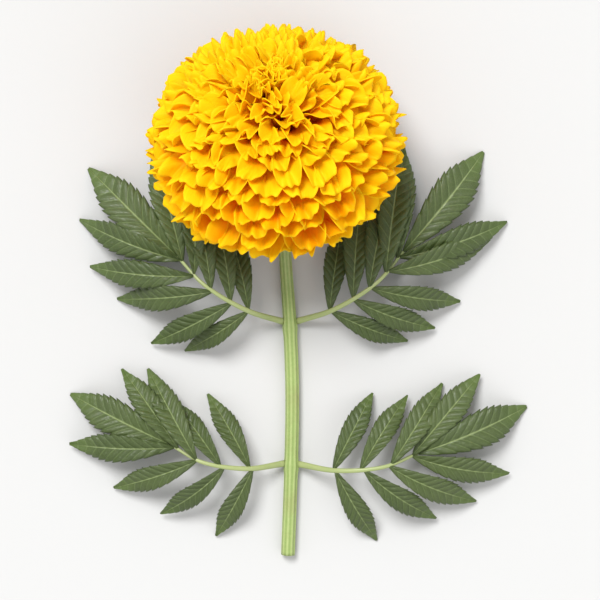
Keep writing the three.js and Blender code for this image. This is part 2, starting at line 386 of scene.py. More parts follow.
class Shader:
    """A material and its nodes."""

    def __init__(self, name):
        self.material = bpy.data.materials.new(name)
        self.material.use_nodes = True
        self.tree = self.material.node_tree
        self.tree.nodes.clear()

    def node(self, kind, settings, inputs, output=0):
        """Adds a node, applies its settings, fills its sockets and returns one of its outputs."""
        made = self.tree.nodes.new(kind)
        for name, value in settings.items():
            if name == "stops":
                set_stops(made.color_ramp, value)
            else:
                setattr(made, name, value)
        for name, value in inputs.items():
            socket = made.inputs[name]
            if isinstance(value, Wire):
                self.tree.links.new(value.socket, socket)
            else:
                socket.default_value = value
        return Wire(self, made.outputs[output]) if made.outputs else None

    def mix(self, factor, first, second):
        """Two colours mixed by a factor."""
        first, second = (side if isinstance(side, Wire) else rgba(side) for side in (first, second))
        settings = {"data_type": "RGBA", "clamp_factor": True}
        inputs = {MIX_FACTOR: factor, MIX_FIRST: first, MIX_SECOND: second}
        return self.node("ShaderNodeMix", settings, inputs, MIX_RESULT)

    def coats(self, colour, *coats):
        """A colour with others laid over it in turn, each given after its mask."""
        for mask, coat in coats:
            colour = self.mix(mask, colour, coat)
        return colour

    def layer(self, name):
        """A piece's own attribute."""
        return self.node("ShaderNodeAttribute", {"attribute_name": name}, {}, "Fac")

    def across_and_along(self):
        """The two coordinates of the piece's UV map."""
        parts = {"Vector": self.node("ShaderNodeUVMap", {"uv_map": "UVMap"}, {})}
        return tuple(self.node("ShaderNodeSeparateXYZ", {}, parts, axis) for axis in "XY")

    def vector(self, x, y, z):
        """A vector from three numbers."""
        return self.node("ShaderNodeCombineXYZ", {}, {"X": x, "Y": y, "Z": z})

    def noise(self, scale=1.0, detail=3.0, vector=None):
        """Cloudy noise between 0 and 1, on object coordinates unless another vector is given."""
        place = vector or self.node("ShaderNodeTexCoord", {}, {}, "Object")
        inputs = {"Vector": place, "Scale": scale, "Detail": detail, "Roughness": 0.55}
        return self.node("ShaderNodeTexNoise", {}, inputs)

    def cells(self, scale=1.0, vector=None, feature="F1"):
        """Distances in a pattern of cells: to a cell's middle, or to its edge."""
        place = vector or self.node("ShaderNodeTexCoord", {}, {}, "Object")
        return self.node("ShaderNodeTexVoronoi", {"feature": feature}, {"Vector": place, "Scale": scale})

    def surface(self, colour, relief, roughness, gloss, depth, strength):
        """An opaque surface, tilted by a relief of this depth and strength."""
        bump = {"Height": relief, "Distance": depth, "Strength": strength}
        return self.node("ShaderNodeBsdfPrincipled", {}, {
            "Base Color": colour,
            "Roughness": roughness,
            "Specular IOR Level": gloss,
            "Normal": self.node("ShaderNodeBump", {}, bump),
        })

    def lit_through(self, surface, colour, share):
        """A surface of which this share lets light through in one colour."""
        through = self.node("ShaderNodeBsdfTranslucent", {}, {"Color": rgba(colour)})
        return self.node("ShaderNodeMixShader", {}, dict(enumerate((share, surface, through))))

    def finish(self, surface):
        """Joins a surface to the output and returns the material."""
        self.node("ShaderNodeOutputMaterial", {}, {"Surface": surface})
        return self.material


def set_stops(ramp, stops):
    """Places a colour ramp's stops: pairs of a place and a colour or a grey."""
    ramp.interpolation = "EASE"
    while len(ramp.elements) < len(stops):
        ramp.elements.new(1.0)
    for element, (place, colour) in zip(ramp.elements, stops):
        element.position = place
        element.color = rgba(colour if hasattr(colour, "__len__") else (colour,) * 3)


def rgba(colour):
    """A colour as four numbers."""
    return (*colour[:3], 1.0)


# Petals

class HeadSettings(bpy.types.PropertyGroup):
    """Sizes and colours of the petals."""

    thickness: length_of("Thickness", "Thickness of a petal's blade", 0.3)
    width: length_of("Widths", "Widths of the blades", 15, 9.5)
    length: length_of("Lengths", "Lengths of the blades", 17, 12.5)
    reflex: angle_of("Reflexes", "Angles by which the blades bend outwards", 42, 78)
    cupping: number_of("Cupping", "Half angles, in radians, of the arc across a blade", 0.8, 0.55)
    spin: angle_of("Spin", "Largest turns of the petals about their own claws", 9, 92)
    ruffle: length_of("Ruffle", "Heights of the crests of the waves round a margin", 2.3, 1.7)
    waves: number_of("Waves", "Waves in a full turn round a blade", 4.6, 6.4)
    bowl: number_of("Bowl", "Depth of the hollow in a blade, for each unit of its width", 0.16)
    margin_colour: colour_of("Margin", "a petal's margin", 1.0, 0.73, 0.004)
    blade_colour: colour_of("Blade", "a petal's blade", 1.0, 0.59, 0.001)
    # The throat colour is partly the petal's own orange and partly painted shade of the hollows
    throat_colour: colour_of("Throat", "a petal towards its claw", 0.96, 0.32, 0.003)
    glow_colour: colour_of("Glow", "the light that passes a petal", 0.99, 0.68, 0.003)
    glow: number_of("Glow", "Share of the light that passes through a petal", 0.3)


PETAL_COLUMNS = 19
CLAW_ROWS = 5
BLADE_ROWS = 16
GOLDEN_ANGLE = TURN * (3 - math.sqrt(5)) / 2

# Angles from the head's axis of the outermost petals and of the innermost
ROOT_POLAR = (math.radians(84), math.radians(7))
CROSSING_POLAR = (math.radians(103), math.radians(5))

# Passages, as shares of the way from the outermost whorl to the innermost
TO_INNER = (0.1, 0.6)
TO_CROWN = (0.4, 0.95)
TO_HEART = (0.8, 1.03)

# The petals in the heart are a little narrower and straighter, and are turned to close over it
HEART_WIDTH = 0.85
HEART_REFLEX = 0.8
HEART_TURN = math.radians(172)

CROWN_CALM = 0.5  # what is left of the petals' differences inside
CLAW_HALF_WIDTH = 0.7 * MM
SHOULDER_WIDTH = (0.14, 0.45)  # half width where the blade starts, as a share of its width
FULL_WIDTH = 0.5  # share of the blade at which it has its full width
TIP_TAPER = 0.12
CORNER_PULL = 0.32  # share of the blade by which its corners fall short
NOTCH_DEPTH = 0.03  # half the depth of a notch, as a share of the blade
NOTCHES = 1.7  # on either side of the midline
CLAW_CURL = 1.3  # half angle of the arc across a claw, in radians
WAVE_CENTRE = 0.3  # share of the blade at the middle of its waves
WAVE_RISE = (0.1, 0.6)  # stretch of the blade over which it opens out and its waves grow
RIPPLE_SHARE = 0.15
RIPPLE_PITCH = 2.1
CLAW_POWER, CORNER_POWER, TAPER_POWER, MARGIN_POWER = 1.5, 6, 5, 3

# How far petals differ to either side: sectors, radians, shares or metres
PETAL_SPREADS = {
    "azimuth": 0.1,
    "crossing": 0.05,
    "reflex": 0.26,
    "width": 0.14,
    "length": 0.12,
    "cupping": 0.3,
    "sink": 0.6 * MM,
    "twist": 0.35,
    "lean": 0.2,
    "waves": 0.2,
    "wave_phase": math.pi,
    "notch_phase": math.pi,
    "ruffle": 0.3,
    "spin": 1.0,
}


def surface_reach(polar):
    """Distance from the receptacle to the head's surface at these angles from the axis.

    The surface is a half ellipsoid above the widest ring and another below it, and the distance
    is the positive root of the quadratic that puts the point on the ellipsoid.
    """
    def within(height):
        """The distance to an ellipsoid that is this high."""
        square = (np.sin(polar) / HEAD_RADIUS) ** 2 + (np.cos(polar) / height) ** 2
        half = RECEPTACLE_DEPTH * np.cos(polar) / height ** 2
        rest = 1 - (RECEPTACLE_DEPTH / height) ** 2
        return (half + np.sqrt(half ** 2 + square * rest)) / square
    upper = within(CROWN_HEIGHT)
    return np.where(upper * np.cos(polar) > RECEPTACLE_DEPTH, upper, within(SKIRT_DEPTH))


def petal_places(rank):
    """Each petal's share of the way to the innermost whorl, and its azimuth.

    The outer whorls are even rings. Inside, the petals follow each other at the golden angle
    from the centre outwards, as the florets of such a head do.
    """
    count = WHORL_PETALS[rank]
    number = np.arange(count).reshape(-1, 1, 1)
    last = len(WHORL_PETALS) - 1
    if rank < SEPARATE_WHORLS:
        return np.full(number.shape, rank / last), WHORL_TURN * rank + number * TURN / count
    inside = sum(WHORL_PETALS[rank + 1:])
    return (rank + 0.5 - (number + 0.5) / count) / last, (inside + number) * GOLDEN_ANGLE


def petal_sheets(settings, rank):
    """Middle surfaces of one whorl's petals, in the head's own frame.

    A petal's claw fans out from the receptacle to a ray at its angle from the head's axis, and
    its blade is an arc that bends away from the ray by its reflex. Across the midline the blade
    is another arc, hollowed like a spoon, with waves round its margin, and with pulled-back
    corners and notches at its end. The petal is twisted along its length, leans to one side and
    is spun about its ray, so that the crown's petals fold over in all directions and the heart's
    close over its middle.
    """
    draws = np.random.default_rng(PETAL_SEED + rank)
    count = WHORL_PETALS[rank]
    share, azimuth = petal_places(rank)
    inner, crown, heart = (smooth(share, *passage) for passage in (TO_INNER, TO_CROWN, TO_HEART))
    calm = blend(1, CROWN_CALM, inner)

    def vary(name):
        """A draw for each petal, up to its spread to either side of 0."""
        return draws.uniform(-1, 1, (count, 1, 1)) * PETAL_SPREADS[name]

    azimuth = azimuth + vary("azimuth") * TURN / count
    crossing = blend(*CROSSING_POLAR, share) + vary("crossing") * calm
    reflex = blend(*settings.reflex, inner) * blend(1, HEART_REFLEX, heart) + vary("reflex")
    width = blend(*settings.width, smooth(share)) * blend(1, HEART_WIDTH, heart) * (1 + vary("width"))
    length = blend(*settings.length, smooth(share)) * (1 + vary("length"))
    cupping = blend(*settings.cupping, inner) + vary("cupping") * calm
    sink = vary("sink") * calm
    twist = vary("twist") * calm
    lean = vary("lean")
    waves = blend(*settings.waves, crown) * (1 + vary("waves"))
    wave_phase = vary("wave_phase")
    notch_phase = vary("notch_phase")
    ruffle = blend(*settings.ruffle, crown) * (1 + vary("ruffle"))
    spin = blend(*settings.spin, crown) * vary("spin") + HEART_TURN * heart

    def joined(claw, blade):
        """Values for the claw's rows and then for the blade's, as one grid."""
        claw = np.broadcast_to(claw, (count, CLAW_ROWS, PETAL_COLUMNS))
        blade = np.broadcast_to(blade, (count, BLADE_ROWS, PETAL_COLUMNS))
        return np.concatenate([claw, blade], axis=1)

    # Places on the petal: across from margin to margin, up the claw and along the blade
    across = np.linspace(-1, 1, PETAL_COLUMNS).reshape(1, 1, -1)
    fan = np.arange(CLAW_ROWS).reshape(1, -1, 1) / CLAW_ROWS
    pull = CORNER_PULL * across ** CORNER_POWER
    notches = NOTCH_DEPTH * (1 + np.cos(NOTCHES * TURN * across + notch_phase))
    along = np.linspace(0, 1, BLADE_ROWS).reshape(1, -1, 1) * (1 - pull - notches)
    place = joined(0, along)

    # The midline: its distance along the ray and aside from it, and its direction
    radius = length / reflex
    start = surface_reach(crossing) + sink - radius * np.sin(reflex)
    bend = joined(0, reflex * along)
    ray = joined(blend(RECEPTACLE_RADIUS, start, fan), start + radius * np.sin(reflex * along))
    aside = joined(0, radius * (1 - np.cos(reflex * along)))
    polar = joined(blend(blend(*ROOT_POLAR, share), crossing, smooth(fan)), crossing)

    # The cross-section: an arc, hollowed and ruffled
    shoulder = width * blend(*SHOULDER_WIDTH, inner)
    taper = 1 - TIP_TAPER * along ** TAPER_POWER
    blade = blend(shoulder, width / 2, smooth(along, 0, FULL_WIDTH)) * taper
    half_width = joined(blend(CLAW_HALF_WIDTH, shoulder, fan ** CLAW_POWER), blade)
    curl = blend(CLAW_CURL, cupping, smooth(place, *WAVE_RISE))
    sideways = half_width * np.sin(curl * across) / curl
    raised = half_width * (1 - np.cos(curl * across)) / curl
    raised = raised - settings.bowl * width * np.sin(math.pi * place) * (1 - across ** 2)
    margin = (np.abs(across) ** MARGIN_POWER + place ** MARGIN_POWER) ** (1 / MARGIN_POWER)
    margin = np.clip(margin, 0, 1)
    around = waves * np.arctan2(across, place - WAVE_CENTRE)
    crest = np.sin(around + wave_phase) + RIPPLE_SHARE * np.sin(RIPPLE_PITCH * around + notch_phase)
    raised = raised + ruffle * margin ** 2 * smooth(place, *WAVE_RISE) * crest

    # The twist along the midline, the lean to one side, and the spin about the ray
    sideways, raised = rotated(sideways, raised, twist * place)
    sideways = sideways + lean * length * place ** 2
    ray = ray + raised * np.sin(bend)
    aside = aside - raised * np.cos(bend)
    aside, sideways = rotated(aside, sideways, spin * joined(smooth(fan), 1))
    up, out = rotated(ray, aside, polar)
    back, right = rotated(out, sideways, azimuth)
    return np.stack([right, up, back], axis=-1)


def head_sheets(settings):
    """Every whorl's petals in place, pressed onto the floor where the head lies on them.

    In the press zone a height is raised by a share of the square of its depth in the zone, so
    that the lowest petal just rests on the floor.
    """
    axes, centre = head_axes(), receptacle_centre()
    whorls = [petal_sheets(settings, rank) @ axes + centre for rank in range(len(WHORL_PETALS))]
    lowest = min(middle[..., 2].min() for middle in whorls)
    squeeze = (settings.thickness - lowest) / (PRESS_ZONE - lowest) ** 2
    for middle in whorls:
        depth = np.clip(PRESS_ZONE - middle[..., 2], 0, None)
        middle[..., 2] += squeeze * depth ** 2
    return whorls


CLAW_SHARE = 0.4  # of the petal's UV map
TINT_CHANCE = 0.4  # how much of a petal's tint is drawn, beside its whorl's painted light
# Painted light: a share that lifts the tone of a whorl's petals, this one for the two outer whorls
OUTER_PAINTED_LIGHT = 0.45
OUTER_WARMTH, INNER_WARMTH = -0.03, -0.04

# A petal's tone: the places of its colours, and how much its rim, its clouds and its tint move them. The
# throat's orange is partly the petal's own tone and partly painted shade of the hollows, and the rim's lift
# is partly painted light on the edges.
THROAT_END, BLADE_MIDDLE, MARGIN_START = 0.47, 0.74, 0.95
RIM_POWER, RIM_TONE = 4, 0.2
PETAL_CLOUD_TONE, PETAL_TINT_TONE = 0.16, 0.7

# Its fine ridges, and its streaks, which differ with the tint
RIDGE_PITCH, RIDGE_POWER = 95, 0.5
RIDGE_TONE, RIDGE_RELIEF = 0.1, 0.6
STREAKS_ACROSS, STREAKS_ALONG, STREAKS_BY_TINT = 26, 2.2, 30
STREAK_LEVEL, STREAK_TONE = 0.42, 0.6


def petal_material(settings, name, warmth):
    """A petal: orange in its throat, golden on the blade and bright along the margin. The throat's orange is
    partly the petal's own tone and partly painted shade in the hollows between petals, and the brightness
    along the margin is partly painted light on its edges.

    Fine ridges run along the blade, and its tone drifts a little from petal to petal, at random, and from
    whorl to whorl as painted light that is paler towards the heart. Warmth moves the whole petal towards its
    throat's colour.
    """
    shader = Shader(name)
    across, along = shader.across_and_along()
    # The tint is partly drawn at random and partly the whorl's painted light, paler towards the heart
    tint = shader.layer("tint")
    rim = across.from_middle() ** RIM_POWER
    clouds = shader.noise(scale=160).centred()
    # Painted shade and light: the ramp's throat stands partly for shade in the hollows, and the rim term
    # lightens the blade's sides partly as painted light on the edges
    tone = along + rim * RIM_TONE + clouds * PETAL_CLOUD_TONE + tint.centred() * PETAL_TINT_TONE - warmth
    colour = tone.ramp(
        (THROAT_END, settings.throat_colour),
        (BLADE_MIDDLE, settings.blade_colour),
        (MARGIN_START, settings.margin_colour),
    )
    ridge = (across * RIDGE_PITCH).sine().size() ** RIDGE_POWER
    place = shader.vector(across * STREAKS_ACROSS, along * STREAKS_ALONG, tint * STREAKS_BY_TINT)
    streak = shader.noise(detail=2, vector=place)
    furrows = (streak - STREAK_LEVEL) * STREAK_TONE + (1 - ridge) * RIDGE_TONE
    streaked = shader.mix(furrows, colour, settings.throat_colour)
    relief = ridge * RIDGE_RELIEF + streak
    petal = shader.surface(streaked, relief, roughness=0.6, gloss=0.12, depth=0.12 * MM, strength=0.45)
    return shader.finish(shader.lit_through(petal, settings.glow_colour, settings.glow))


def add_petals(settings, name, middle, material, node, whorl_painted_light, draws):
    """Adds one piece of thin closed petals with their UV map and a tint for each petal, partly drawn at
    random and partly its whorl's painted light.
    """
    points, faces = thin_solids(middle, settings.thickness)
    claw = CLAW_SHARE * np.arange(CLAW_ROWS) / CLAW_ROWS
    along = np.concatenate([claw, np.linspace(CLAW_SHARE, 1, BLADE_ROWS)])
    drawn = draws.uniform(0, 1, (len(middle), 1, 1))
    tint = both_sides(blend(whorl_painted_light, drawn, TINT_CHANCE), middle)
    add_piece(name, points, faces, material, node, sheet_map(middle, along), {"tint": tint})


class MARIGOLD_OT_outer_petals(bpy.types.Operator):
    """Make the separate petals of the two outer whorls"""

    bl_idname = "marigold.outer_petals"
    bl_label = "Outer petals"

    def execute(self, context):
        settings = context.scene.marigold_head
        material = petal_material(settings, "outer_petal", OUTER_WARMTH)
        draws = np.random.default_rng(SEED)
        for rank, middle in enumerate(head_sheets(settings)[:SEPARATE_WHORLS]):
            for petal in range(len(middle)):
                node = f"petal_row{rank + 1:02d}_{petal + 1:02d}"
                add_petals(settings, f"{node}_curled", middle[petal:petal + 1], material, node,
                           OUTER_PAINTED_LIGHT, draws)
        return {"FINISHED"}


class MARIGOLD_OT_inner_whorls(bpy.types.Operator):
    """Make the inner whorls, one piece of many petals for each"""

    bl_idname = "marigold.inner_whorls"
    bl_label = "Inner whorls"

    def execute(self, context):
        settings = context.scene.marigold_head
        material = petal_material(settings, "inner_petal", INNER_WARMTH)
        draws = np.random.default_rng(SEED + 1)
        whorls = head_sheets(settings)
        for rank in range(SEPARATE_WHORLS, len(whorls)):
            node = f"petal_whorl_{rank + 1:02d}"
            # Painted light: paler towards the heart, standing for the bright crown and lightening the shade
            # in its gaps
            whorl_painted_light = smooth(rank, SEPARATE_WHORLS - 1, len(whorls) - 2)
            add_petals(settings, f"{node}_ruffled", whorls[rank], material, node,
                       whorl_painted_light, draws)
        return {"FINISHED"}


# Bract cup

class CupSettings(bpy.types.PropertyGroup):
    """Sizes and colours of the cup of bracts."""

    bracts: count_of("Bracts", "Joined bracts round the cup", 13)
    rib: length_of("Rib", "Height of the ribs down the cup", 0.35)
    tooth: length_of("Tooth", "Length of the free tips of the bracts", 3.4)
    colour: colour_of("Cup", "the cup", 0.26, 0.36, 0.09)
    pale_colour: colour_of("Pale", "the cup's lighter clouds", 0.36, 0.42, 0.14)
    seam_colour: colour_of("Seam", "the cup's grooves", 0.11, 0.18, 0.035)
    gland_colour: colour_of("Gland", "the oil glands", 0.09, 0.07, 0.015)
    tip_colour: colour_of("Tip", "the bracts' tips", 0.17, 0.22, 0.05)


COLUMNS_PER_BRACT = 10
CUP_ROWS = 34
FOOT_RADIUS = 3.1 * MM
FOOT_PINCH = 0.9 * MM
BELLY_RADIUS = 7.9 * MM
LIP_FLARE = 0.9 * MM
RIM_HEIGHT = -1.2 * MM
RIM_WALL, FOOT_WALL = 0.5 * MM, 1.1 * MM
INSIDE_FLOOR = -7 * MM
BELLY_RISE, LIP_START = (-0.25, 0.62), 0.8  # levels up the cup
CUP_POWER, TOOTH_POWER, PINCH_POWER, RIB_POWER = 0.9, 0.8, 6, 0.6

CUP_CLOUD_TONE, CUP_CLOUD_RELIEF = 0.55, 0.5
SEAM_WIDTH, SEAM_TONE, SEAM_DEPTH = 0.25, 0.6, 0.6
GLANDS_ROUND, GLANDS_ALONG, GLAND_EDGE = 60, 11, (0.10, 0.22)
GLAND_TONE, GLAND_DEPTH = 0.45, 0.4
TIP_LEVEL, TIP_TONE = 0.72, 1.6


def cup_surface(settings):
    """The cup as a closed skin of rings, up its ribbed outside, over its toothed rim and down inside.

    Its radius grows to the belly and flares at the lip. Its rim is a pointed wave with a crest
    for each bract. The inside follows at the wall's thickness, down to its floor. Also returns
    each point's level up the cup and its distance from a seam.
    """
    columns = settings.bracts * COLUMNS_PER_BRACT
    angle = np.arange(columns) * TURN / columns
    seam = 1 - np.abs(((angle * settings.bracts / TURN) % 1) * 2 - 1)
    level = np.linspace(0, 1, CUP_ROWS)[:, None]
    height = blend(-CUP_LENGTH, RIM_HEIGHT + settings.tooth * seam ** TOOTH_POWER, level ** CUP_POWER)
    profile = blend(FOOT_RADIUS, BELLY_RADIUS, smooth(level, *BELLY_RISE) ** CUP_POWER)
    profile = profile - FOOT_PINCH * (1 - level) ** PINCH_POWER + LIP_FLARE * smooth(level, LIP_START, 1)
    outside = profile + settings.rib * (seam - 0.5) * np.sin(math.pi * level) ** RIB_POWER
    back_down = slice(None, CUP_ROWS // 2, -1)
    inside = (outside - blend(FOOT_WALL, RIM_WALL, level))[back_down]
    inside_height = np.maximum(height, INSIDE_FLOOR)[back_down]
    radius = np.concatenate([outside, inside])
    heights = np.concatenate([height, inside_height])
    points = np.stack([radius * np.sin(angle), heights, radius * np.cos(angle)], axis=-1)
    level = np.concatenate([level, level[back_down]])
    return points, np.broadcast_to(level, radius.shape), np.broadcast_to(seam, radius.shape)


def cup_material(settings):
    """The cup: yellow-green bracts with darker seams and small oil glands."""
    shader = Shader("bract_cup")
    across, along = shader.across_and_along()
    seam = shader.layer("seam").fade(0, SEAM_WIDTH)
    cloud = shader.noise(scale=220)
    spots = shader.vector(across * GLANDS_ROUND, along * GLANDS_ALONG, 0)
    glands = shader.cells(vector=spots).fade(*GLAND_EDGE)
    colour = shader.coats(
        settings.colour,
        (cloud * CUP_CLOUD_TONE, settings.pale_colour),
        (seam * SEAM_TONE, settings.seam_colour),
        (glands * GLAND_TONE, settings.gland_colour),
        ((along - TIP_LEVEL) * TIP_TONE, settings.tip_colour),
    )
    relief = seam * -SEAM_DEPTH + cloud * CUP_CLOUD_RELIEF - glands * GLAND_DEPTH
    return shader.finish(
        shader.surface(colour, relief, roughness=0.45, gloss=0.4, depth=0.25 * MM, strength=0.6))


class MARIGOLD_OT_bract_cup(bpy.types.Operator):
    """Make the ribbed cup of bracts behind the petals"""

    bl_idname = "marigold.bract_cup"
    bl_label = "Bract cup"

    def execute(self, context):
        settings = context.scene.marigold_cup
        points, level, seam = cup_surface(settings)
        rings, columns = level.shape
        uv = np.stack([ring_map(rings, columns)[:, 0], level.ravel()], axis=1)
        placed = points @ head_axes() + receptacle_centre()
        add_piece("bract_cup_ribbed", placed, ring_faces(rings, columns), cup_material(settings),
                  "bract_cup", uv, {"seam": seam})
        return {"FINISHED"}


# Stem

class StemSettings(bpy.types.PropertyGroup):
    """Sizes and colours of the stem."""

    ridges: count_of("Ridges", "Fine ridges round the stem", 9)
    ridge: length_of("Ridge", "Half the height of a ridge", 0.13)
    swelling: length_of("Swelling", "Height of the swelling where leaves grow", 0.35)
    colour: colour_of("Stem", "the stem", 0.23, 0.32, 0.09)
    ridge_colour: colour_of("Ridge", "the stem's ridges", 0.42, 0.50, 0.20)
    flush_colour: colour_of("Flush", "the stem's brownish flush", 0.24, 0.14, 0.07)
    skin_colour: colour_of("Skin", "the skin round the cut end", 0.20, 0.27, 0.08)
    bark_colour: colour_of("Bark", "the layer under the skin of the cut end", 0.33, 0.40, 0.15)
    wood_colour: colour_of("Wood", "the cut end's ring of wood", 0.66, 0.70, 0.45)
    core_colour: colour_of("Core", "the middle of the cut end", 0.80, 0.80, 0.62)
    cell_colour: colour_of("Cell", "the pores in the cut end", 0.45, 0.47, 0.25)


STEM_COLUMNS = 54
STEM_RINGS = 150
CUT_RINGS = 6
CUT_HOLLOW = 0.45 * MM
CUT_MIDDLE = 0.06  # radius of the innermost ring of the cut face, as a share
SWELLING_REACH = 2.2 * MM
NECK_WAIST = 0.35 * MM
NECK_FLARE = 0.5 * MM
FLOOR_GAP = 0.02 * MM
FLARE_START, WAIST_PASSAGE = 0.86, (0.4, 0.8)  # places along the stem
HOLLOW_POWER = 1.5
PATH_SAMPLES = 400

STEM_GRAIN_TONE, STEM_GRAIN_RELIEF = 0.5, 0.5
STEM_RIDGE_TONE, FLUSH_TONE, PORE_TONE = 0.7, 1.1, 0.5
BARK_PLACE, WOOD_PLACE = 0.22, 0.42  # shares of the way to the cut face's middle
CUT_EDGE = 0.02


def stem_path(shares):
    """The stem's centre line: along the floor with a slight sway, then up into the cup."""
    axis = head_axes()[1]
    neck = receptacle_centre() - axis * CUP_LENGTH
    laid = cut_end() + STEM_RADIUS * VERTICAL + np.array(STEM_SWAY)
    return spline(np.concatenate([laid, [neck - axis * NECK_LENGTH, neck + axis * MM]]), shares)


def stem_place(distance):
    """The point of the stem's centre line that lies this far along Y from the cut end."""
    path = stem_path(np.linspace(0, 1, PATH_SAMPLES))
    return path[np.argmin(np.abs(path[:, 1] - cut_end()[1] - distance))]


def stem_surface(settings):
    """The stem as a closed tube of rings, each point's place in the cut face and its ridge.

    The radius has a cosine of the angle for the ridges, a bell-shaped swelling at each pair of
    leaves, a waist, and a flare at the neck. The cut face's rings shrink and sink to its middle.
    """
    shares = np.concatenate([np.zeros(CUT_RINGS), np.linspace(0, 1, STEM_RINGS)])
    path = stem_path(shares)
    direction = np.gradient(path, axis=0)
    direction[:CUT_RINGS + 1] = path[CUT_RINGS + 1] - path[CUT_RINGS]
    ridges = np.cos(settings.ridges * np.arange(STEM_COLUMNS) * TURN / STEM_COLUMNS)
    level = path[:, 1:2] - cut_end()[1]
    bells = sum(np.exp(-((level - node) / SWELLING_REACH) ** 2) for node in (LOWER_NODE, UPPER_NODE))
    neck = NECK_FLARE * smooth(shares, FLARE_START, 1) - NECK_WAIST * smooth(shares, *WAIST_PASSAGE)
    radius = STEM_RADIUS + settings.ridge * (ridges - 1) + settings.swelling * bells + neck[:, None]
    inward = np.ones(len(shares))
    inward[:CUT_RINGS] = np.linspace(CUT_MIDDLE, 1, CUT_RINGS, endpoint=False)
    path = path + unit(direction) * CUT_HOLLOW * (1 - inward[:, None]) ** HOLLOW_POWER
    points = tube(path, direction, radius * inward[:, None])
    points[..., 2] = np.maximum(points[..., 2], FLOOR_GAP)
    pith = np.where(np.arange(len(shares)) < CUT_RINGS, 1 - inward * (1 - CUT_MIDDLE), 0)
    return points, np.broadcast_to(pith[:, None], radius.shape), np.broadcast_to(ridges, radius.shape)


def stem_material(settings):
    """The stem: pale green with lighter ridges, a brownish flush and a pale, pithy cut end."""
    shader = Shader("stem")
    pith = shader.layer("pith")
    ridge = shader.layer("ridge") * 0.5 + 0.5  # from 0 in a furrow to 1 on a ridge
    grain = shader.noise(scale=900, detail=2)
    flush = shader.noise(scale=90).centred()
    pores = shader.cells(scale=1900)
    cut = pith.ramp(
        (0.0, settings.skin_colour),
        (BARK_PLACE, settings.bark_colour),
        (WOOD_PLACE, settings.wood_colour),
        (1.0, settings.core_colour),
    )
    colour = shader.coats(
        settings.colour,
        (ridge * STEM_RIDGE_TONE + grain.centred() * STEM_GRAIN_TONE, settings.ridge_colour),
        (flush * FLUSH_TONE, settings.flush_colour),
        (pith.rise(0, CUT_EDGE), shader.mix(pores * PORE_TONE, cut, settings.cell_colour)),
    )
    relief = grain * STEM_GRAIN_RELIEF + pores * pith
    return shader.finish(
        shader.surface(colour, relief, roughness=0.48, gloss=0.4, depth=0.1 * MM, strength=0.5))


class MARIGOLD_OT_stem(bpy.types.Operator):
    """Make the ridged stem with its cut end and bent neck"""

    bl_idname = "marigold.stem"
    bl_label = "Stem"

    def execute(self, context):
        settings = context.scene.marigold_stem
        points, pith, ridges = stem_surface(settings)
        rings, columns = pith.shape
        add_piece("stem_ridged", points, ring_faces(rings, columns), stem_material(settings),
                  "stem", ring_map(rings, columns), {"pith": pith, "ridge": ridges})
        return {"FINISHED"}


# Leaves

class Leaf(NamedTuple):
    """One leaf of the frame. Its heading is its angle from the stem and its bow goes sideways."""

    node: str
    place: float
    heading: float
    length: float
    pairs: int
    arch: float
    bow: float


LEAVES = (
    Leaf("leaf_upper_left", UPPER_NODE, math.radians(53), 94 * MM, 5, 18 * MM, 5 * MM),
    Leaf("leaf_upper_right", UPPER_NODE, math.radians(-51), 96 * MM, 5, 16 * MM, -6 * MM),
    Leaf("leaf_lower_left", LOWER_NODE, math.radians(74), 86 * MM, 4, 14 * MM, 6 * MM),
    Leaf("leaf_lower_right", LOWER_NODE, math.radians(-79), 90 * MM, 4, 15 * MM, -5 * MM),
)

# The frame's leaf dimensions, a pair being for the first leaflets along the stalk and the last
TERMINAL_SHARE = 0.48
TERMINAL_PLACE = 0.98
TERMINAL_WIDTH = 0.34
LEAFLET_WIDTH = 0.29
LEAFLET_RISE = 0.08
PAIR_PLACES = (0.3, 0.93)
PAIR_LENGTHS = (0.7, 0.92)
PAIR_SPREADS = (math.radians(60), math.radians(36))
STALK_LIFT = 0.6 * MM
STALK_COURSE = ((0.35, 0.7, 0.85), (0.7, 1, 1), (1, 0.6, 0.7))

STALK_RINGS = 40
STALK_COLUMNS = 12
STALK_RADII = (1.25 * MM, 0.55 * MM)
STALK_GROOVE = 0.22
LEAFLET_COLUMNS = 17
ROWS_PER_TOOTH = 6
LEAFLET_BASE = 0.06  # width of a leaflet at its ends, as a share of its full width
TOOTH_DEPTH = 0.17
VEIN_SWEEP = 1.35  # how far a side vein runs forwards, for each unit of its way outwards
MARGIN_ROLL = 0.22
VEIN_SWELL = 0.4 * MM
BLADE_WAVE = 0.5 * MM
RESTING_TIP, RAISED_TIP = 0.4 * MM, 1.9 * MM
SOFT_REST = 0.5 * MM

# The leaflet's outline and relief, as powers of its own coordinates and shares of its measures
LANCE_SKEW, LANCE_POWER = 0.85, 0.95
TOOTH_REACH, TOOTH_EASE = 5, 0.3
SWEEP_POWER, DROOP_POWER, ROLL_POWER, SWELL_POWER = 0.8, 1.5, 4, 0.6
FOLD_LOSS = 0.4
SWELL_LEVEL = 0.6
WAVES_ALONG, WAVES_BY_SWAY = 1.6, 9
REST_HEIGHT = 0.75

# The stalk's outline and tint, and the step along it that gives a leaflet its course
STALK_TAPER = 0.7
GROOVE_PASSAGE = (0.6, 1.0)
STALK_TINT = 0.5
ROOT_STEP = 0.02

# What is drawn for each side leaflet, and what the one at the end has
LEAFLET_DRAWS = {
    "length": (0.9, 1.06),
    "turn": (-0.12, 0.12),
    "place": (-0.02, 0.02),
    "tip": (0, 1.5 * MM),
    "roll": (0.08, 0.28),
    "sway": (0.02, 0.13),
}
TERMINAL_ROLL, TERMINAL_SWAY = 0.05, 0.03

